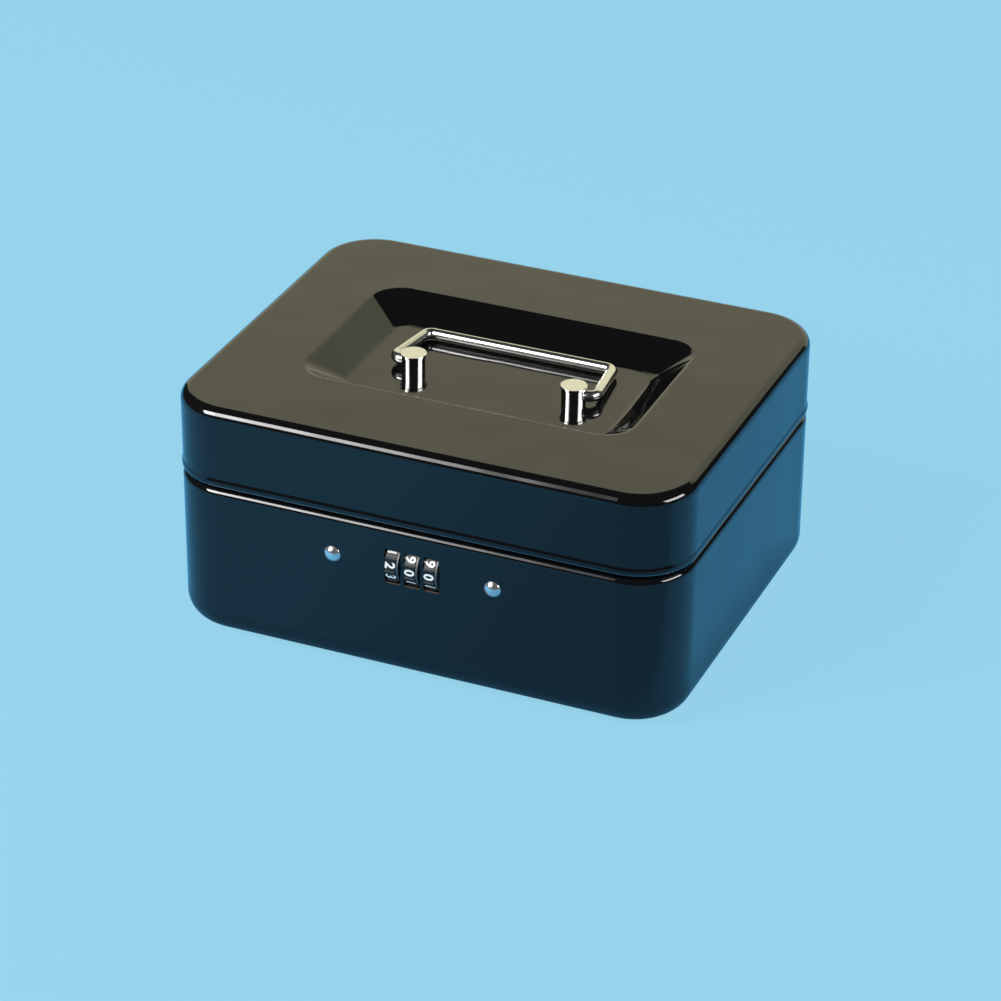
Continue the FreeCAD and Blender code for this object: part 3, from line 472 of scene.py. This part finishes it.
def numeral_mesh(dials, number, centre, apothem, material):
    """The ten numerals of one dial on its flat faces, tops to the right."""
    whole = bmesh.new()
    for digit in range(FACES):
        text = bpy.data.curves.new("numeral", "FONT")
        text.body = str(digit)
        text.size = dials.numeral_height / DIGIT_SHARE
        text.offset = dials.numeral_weight
        text.extrude = dials.numeral_relief
        text.resolution_u = DIGIT_CURVE_STEPS
        maker = bpy.data.objects.new("numeral", text)
        bpy.context.scene.collection.objects.link(maker)
        mesh = plain_mesh(maker)
        xs = [vertex.co.x for vertex in mesh.vertices]
        ys = [vertex.co.y for vertex in mesh.vertices]
        middle = Vector(((min(xs) + max(xs)) / 2, (min(ys) + max(ys)) / 2, 0))
        angle = face_turn(number, digit)
        outward = Vector((0, -math.cos(angle), math.sin(angle)))
        upward = Vector((0, math.sin(angle), math.cos(angle)))
        turn = Matrix((-upward, Vector((1, 0, 0)), outward)).transposed().to_4x4()
        mesh.transform(Matrix.Translation(centre + outward * apothem) @ turn @ Matrix.Translation(-middle))
        whole.from_mesh(mesh)
        bpy.data.meshes.remove(mesh)
        bpy.data.curves.remove(text)
    made = bpy.data.meshes.new(f"numerals_{number}")
    whole.to_mesh(made)
    whole.free()
    made.materials.clear()
    made.materials.append(material)
    return made


class CASHBOX_OT_shells(bpy.types.Operator):
    """Paint the base, the lid and the hinge"""

    bl_idname = "cashbox.shells"
    bl_label = "Shells and hinge"

    def execute(self, context):
        finish = context.scene.cashbox_finish
        ring_low, ring_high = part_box("dial_ring_1")[0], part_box("dial_ring_3")[1]
        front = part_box("base_shell")[0].y
        cut_low = (ring_low.x - CUT_MARGIN_X, front + CUT_START, ring_low.z - CUT_MARGIN_Z)
        cut_high = (ring_high.x + CUT_MARGIN_X, front + CUT_END, ring_high.z + CUT_MARGIN_Z)
        # The slots' cut edge: bare steel, drawn lighter and warmer as a painted highlight.
        dress(("base_shell", "hinge_base_leaf"),
              make_enamel(finish, "black stoving enamel on the base", cut_low, cut_high,
                          band_colour=finish.cut_edge, band_metal=0.3))
        # The lid's lower edge: a steel band that is a painted reflection of the base shoulder's highlight.
        lid_low, lid_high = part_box("lid_shell")
        hem_high = (lid_high.x, lid_high.y, lid_low.z + HIGHLIGHT_BAND_RISE)
        dress(("lid_shell", "hinge_lid_leaf"),
              make_enamel(finish, "black stoving enamel on the lid", lid_low, hem_high,
                          band_colour=finish.rubbed_edge, band_metal=1.0))
        return {"FINISHED"}


class CASHBOX_OT_metalwork(bpy.types.Operator):
    """Plate the handle, the rivets and the metal pieces inside"""

    bl_idname = "cashbox.metalwork"
    bl_label = "Handle and metalwork"

    def execute(self, context):
        finish = context.scene.cashbox_finish
        dress(POST_NODES,
              make_bright_plate(finish, "bright chrome plate on turned steel", smooth=0.05, rough=0.16,
                                stretch=(0.25, 1.0, 1.0)))
        dress(("handle_bail",),
              make_bright_plate(finish, "chrome plate on drawn wire", smooth=0.14, rough=0.3,
                                stretch=(0.08, 1.0, 1.0)))
        # A barrelled plate is milky, so the rivets are paler than what they mirror.
        dress(("lock_rivets",),
              make_bright_plate(finish, "nickel plate on cold-headed rivets", smooth=0.16, rough=0.26,
                                metallic=0.91))
        dress(ZINC_NODES, make_zinc(finish))
        dress(("lock_case",), make_casting(finish))
        dress(SPRING_NODES, make_spring_steel(finish))
        dress(SLEEVE_NODES, make_nickel(finish))
        return {"FINISHED"}


class CASHBOX_OT_dials(bpy.types.Operator):
    """Build the number rings with their ribs and numerals"""

    bl_idname = "cashbox.dials"
    bl_label = "Number dials"

    def execute(self, context):
        dials = context.scene.cashbox_dials
        plastic = make_plastic("black dial plastic", dials.plastic, rough=0.5,
                               grain_size=0.4 * MM, grain_height=0.003 * MM)
        paint = make_numeral_paint(dials)
        group = rib_group(plastic)
        for number in (1, 2, 3):
            centre, half_width, corner = dial_axis(number)
            apothem = corner * math.cos(STEP / 2) - dials.face_depth
            turn = FRONT_TURNS[number - 1]
            ring = ring_mesh(centre, half_width, apothem, dials.ring_bore, dials.edge_chamfer, turn)
            ring.materials.append(plastic)
            piece = add_piece(f"number_ring_{number}", ring, f"dial_{number}")
            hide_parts(f"dial_ring_{number}")
            ribs = rib_mesh(group, {
                "Ribs": FACES,
                "Ring radius": corner - dials.rib_radius,
                "Rib radius": dials.rib_radius,
                "Rib length": 2 * (half_width - dials.edge_chamfer),
                "Middle": centre,
                "Turn": (turn, 0.0, 0.0),
            })
            add_piece(f"number_ribs_{number}", ribs, f"dial_{number}")
            numerals = numeral_mesh(dials, number, centre, apothem, paint)
            add_piece(f"numerals_{number}", numerals, f"dial_{number}")
        return {"FINISHED"}


class CASHBOX_OT_tray(bpy.types.Operator):
    """Give the tray and the code slider their plastic"""

    bl_idname = "cashbox.tray"
    bl_label = "Tray and slider"

    def execute(self, context):
        finish = context.scene.cashbox_finish
        dress(("coin_tray",),
              make_plastic("black tray plastic", finish.tray, rough=0.42,
                           grain_size=0.6 * MM, grain_height=0.012 * MM))
        dress(("code_slider",),
              make_plastic("grey slider plastic", finish.slider, rough=0.4,
                           grain_size=0.5 * MM, grain_height=0.006 * MM))
        return {"FINISHED"}


def fade_light(lamp, start, end):
    """Let a lamp's face grow dark from one place to another along its width, each a share of it."""
    lamp.use_nodes = True
    tree = lamp.node_tree
    face = add_node(tree, "ShaderNodeNewGeometry").outputs["Parametric"]
    along = add_node(tree, "ShaderNodeSeparateXYZ", links={"Vector": face}).outputs["X"]
    fade = {"From Min": start, "From Max": end, "To Min": 1.0, "To Max": 0.0}
    glow = add_node(tree, "ShaderNodeMapRange", fade, {"Value": along},
                    interpolation_type="SMOOTHSTEP")
    tree.links.new(glow.outputs["Result"], tree.nodes["Emission"].inputs["Strength"])


def add_light(name, place, aim, width, height, power, colour):
    """A rectangular lamp at a place, shining along a direction."""
    lamp = bpy.data.lights.new(name, "AREA")
    lamp.shape = "RECTANGLE"
    lamp.size = width
    lamp.size_y = height
    lamp.energy = power
    lamp.color = colour[:3]
    made = bpy.data.objects.new(name, lamp)
    made.location = place
    made.rotation_euler = Vector(aim).to_track_quat("-Z", "Y").to_euler()
    made.visible_camera = False
    bpy.context.scene.collection.objects.link(made)
    return made


def make_floor_material(stage):
    """A pale floor: an even colour, with the box's soft shadow from the share that the lamps light."""
    made = bpy.data.materials.new("pale painted studio floor")
    made.use_nodes = True
    tree = made.node_tree
    tree.nodes.clear()
    rays = add_node(tree, "ShaderNodeLightPath").outputs
    # In the paint's reflections the floor carries painted shade. It is darker close under the box, from
    # ambient occlusion, and in a painted dark patch ahead of the box to the right.
    foot = {"Color": stage.floor_mirrored, "Distance": FOOT_REACH}
    shade = add_node(tree, "ShaderNodeAmbientOcclusion", foot, samples=FOOT_SAMPLES)
    place = add_node(tree, "ShaderNodeTexCoord").outputs["Object"]
    sides = add_node(tree, "ShaderNodeSeparateXYZ", links={"Vector": place}).outputs
    across = add_node(tree, "ShaderNodeMapRange", {"From Min": SHADE_PATCH_LEFT, "From Max": SHADE_PATCH_RIGHT},
                      {"Value": sides["X"]}).outputs["Result"]
    ahead = add_node(tree, "ShaderNodeMapRange", {"From Min": SHADE_PATCH_NEAR, "From Max": SHADE_PATCH_FAR},
                     {"Value": sides["Y"]}).outputs["Result"]
    corner = add_node(tree, "ShaderNodeMath", links={0: across, 1: ahead}, operation="MULTIPLY").outputs[0]
    shaded_floor = add_node(tree, "ShaderNodeMix", {"B": (0.0, 0.0, 0.0, 1.0)}, data_type="RGBA")
    tree.links.new(spread(tree, corner, 0.0, SHADE_PATCH_SHARE), shaded_floor.inputs["Factor"])
    tree.links.new(shade.outputs["Color"], shaded_floor.inputs["A"])
    tint = add_node(tree, "ShaderNodeMix", {"A": stage.floor}, data_type="RGBA")
    tree.links.new(rays["Is Glossy Ray"], tint.inputs["Factor"])
    tree.links.new(shaded_floor.outputs["Result"], tint.inputs["B"])
    even = add_node(tree, "ShaderNodeEmission", links={"Color": tint.outputs["Result"]})
    lit = add_node(tree, "ShaderNodeBsdfDiffuse", {"Color": stage.floor})
    both = add_node(tree, "ShaderNodeMixShader", {"Fac": stage.shadow})
    tree.links.new(even.outputs["Emission"], both.inputs[1])
    tree.links.new(lit.outputs["BSDF"], both.inputs[2])
    add_node(tree, "ShaderNodeOutputMaterial", links={"Surface": both.outputs["Shader"]})
    return made


def add_camera():
    """The camera, where the photo was taken from."""
    flat_back = Vector((math.sin(CAMERA_TURN), -math.cos(CAMERA_TURN), 0))
    back = flat_back * math.cos(CAMERA_RISE) + Vector((0, 0, math.sin(CAMERA_RISE)))
    level = (-back).cross(Vector((0, 0, 1))).normalized()
    roll = Matrix.Rotation(CAMERA_ROLL, 3, back)
    right = roll @ level
    up = roll @ level.cross(-back)
    look = (-back + (right * VIEW_SHIFT_RIGHT - up * VIEW_SHIFT_DOWN) / FOCAL_LENGTH).normalized()
    right = (right - look * right.dot(look)).normalized()
    lens = bpy.data.cameras.new("camera")
    lens.sensor_width = SENSOR_WIDTH
    lens.lens = SENSOR_WIDTH * FOCAL_LENGTH / PICTURE_WIDTH
    lens.clip_start = 10 * MM
    made = bpy.data.objects.new("camera", lens)
    axes = Matrix((right, right.cross(look), -look)).transposed()
    place = Vector((0, 0, AIM_HEIGHT)) + back * CAMERA_DISTANCE
    made.matrix_world = Matrix.Translation(place) @ axes.to_4x4()
    bpy.context.scene.collection.objects.link(made)
    bpy.context.scene.camera = made


class CASHBOX_OT_stage(bpy.types.Operator):
    """Set the floor, the lights and the camera"""

    bl_idname = "cashbox.stage"
    bl_label = "Stage"

    def execute(self, context):
        scene = context.scene
        stage = scene.cashbox_stage
        floor = bpy.data.meshes.new("floor")
        corners = [(x * FLOOR_REACH, y * FLOOR_REACH, 0) for x, y in ((-1, -1), (1, -1), (1, 1), (-1, 1))]
        floor.from_pydata(corners, [], [(0, 1, 2, 3)])
        floor.materials.append(make_floor_material(stage))
        ground = bpy.data.objects.new("floor", floor)
        ground.location.z = -FLOOR_DROP
        scene.collection.objects.link(ground)
        add_light("back card", place=(-0.4, 1.5, 0.63), aim=(0, -1, 0), width=2.4, height=1.25,
                  power=stage.back_power, colour=stage.back_card)
        softbox = add_light("left softbox", place=(-0.5, -0.65, 0.64), aim=(0, 1, -1),
                            width=0.66, height=0.48, power=stage.left_power, colour=stage.lamp)
        # The highlight along the front edges fades towards one end.
        fade_light(softbox.data, start=0.4, end=1.0)
        add_light("right softbox", place=(0.96, -0.05, 0.53), aim=(-1, 0, -0.55), width=0.7, height=0.3,
                  power=stage.right_power, colour=stage.lamp)
        world = bpy.data.worlds.new("dim studio")
        world.use_nodes = True
        backdrop = world.node_tree.nodes["Background"]
        backdrop.inputs["Color"].default_value = stage.room
        scene.world = world
        scene.view_settings.view_transform = "Standard"
        add_camera()
        return {"FINISHED"}


class CASHBOX_PT_panel(bpy.types.Panel):
    """Sizes, colours and build steps of the cash box"""

    bl_idname = "CASHBOX_PT_panel"
    bl_label = "Cash Box"
    bl_space_type = "VIEW_3D"
    bl_region_type = "UI"
    bl_category = "Cash Box"

    def draw(self, context):
        for name in ("cashbox_finish", "cashbox_dials", "cashbox_stage"):
            group = getattr(context.scene, name)
            column = self.layout.column(align=True)
            for key in group.__annotations__:
                column.prop(group, key)
        for operator in OPERATORS:
            self.layout.operator(operator.bl_idname)


OPERATORS = (CASHBOX_OT_shells, CASHBOX_OT_metalwork, CASHBOX_OT_dials, CASHBOX_OT_tray, CASHBOX_OT_stage)
GROUPS = {"cashbox_finish": CashBoxFinish, "cashbox_dials": CashBoxDials, "cashbox_stage": CashBoxStage}


def register():
    for group in GROUPS.values():
        bpy.utils.register_class(group)
    for name, group in GROUPS.items():
        setattr(bpy.types.Scene, name, bpy.props.PointerProperty(type=group))
    for operator in OPERATORS:
        bpy.utils.register_class(operator)
    bpy.utils.register_class(CASHBOX_PT_panel)


def unregister():
    bpy.utils.unregister_class(CASHBOX_PT_panel)
    for operator in reversed(OPERATORS):
        bpy.utils.unregister_class(operator)
    for name in GROUPS:
        delattr(bpy.types.Scene, name)
    for group in reversed(list(GROUPS.values())):
        bpy.utils.unregister_class(group)


def main():
    register()
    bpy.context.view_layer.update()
    bpy.ops.cashbox.shells()
    bpy.ops.cashbox.metalwork()
    bpy.ops.cashbox.dials()
    bpy.ops.cashbox.tray()
    bpy.ops.cashbox.stage()


if __name__ == "__main__":
    main()
